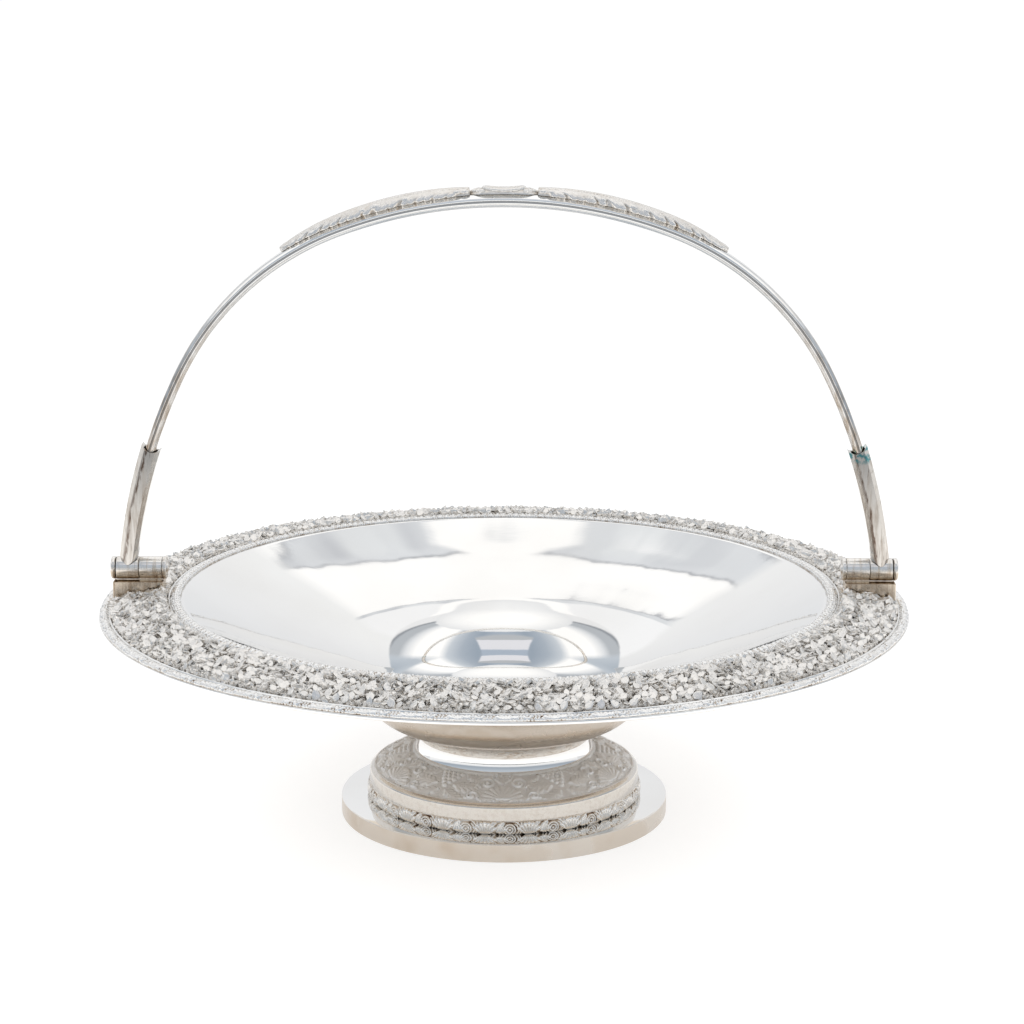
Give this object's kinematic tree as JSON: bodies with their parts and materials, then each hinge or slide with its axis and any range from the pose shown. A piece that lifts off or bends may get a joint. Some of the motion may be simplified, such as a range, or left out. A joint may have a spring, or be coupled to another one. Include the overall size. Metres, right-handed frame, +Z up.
{
  "type": "swing-handle silver basket",
  "caption": "Round footed cake basket in silver: a shallow bowl with a wide floral rim on a pedestal foot, and an arched carrying handle that swings on knuckle hinges.",
  "frame": {"origin": "centre of the plane that the foot stands on", "axes": "+Z up through the middle of the bowl; the handle's hinge axis runs along X, so the handle swings towards +Y and -Y"},
  "size_m": [0.3, 0.3, 0.2366],
  "materials": {
    "polished_silver": "mirror polished",
    "satin_silver": "worn polish with light tarnish",
    "cast_silver": "cast and chased relief, dark in its recesses"
  },
  "bodies": {
    "basket": {"base_plinth": "satin_silver", "foot_border": "cast_silver", "foot_dome": "polished_silver", "foot_neck": "polished_silver", "bowl": "polished_silver", "rim_flange": "polished_silver", "rim_inner_border": "cast_silver", "rim_inner_wire": "polished_silver", "rim_floral_band": "cast_silver", "rim_outer_wire": "polished_silver", "rim_outer_border": "cast_silver", "hinge_bracket_right": "satin_silver", "hinge_bracket_left": "satin_silver", "hinge_pin_right": "satin_silver", "hinge_pin_left": "satin_silver", "hinge_washer_right": "satin_silver", "hinge_washer_left": "satin_silver"},
    "handle": {"handle_strap": "polished_silver", "handle_cartouche": "cast_silver", "handle_spray_right": "cast_silver", "handle_spray_left": "cast_silver", "handle_arm_right": "satin_silver", "handle_arm_left": "satin_silver", "handle_knuckle_right": "satin_silver", "handle_knuckle_left": "satin_silver"}
  },
  "joints": [
    {"name": "handle_swing", "type": "hinge", "parent": "basket", "child": "handle", "pos_m": [0, 0, 0.09352], "axis": [1, 0, 0], "range_deg": [-90, 90]}
  ]
}
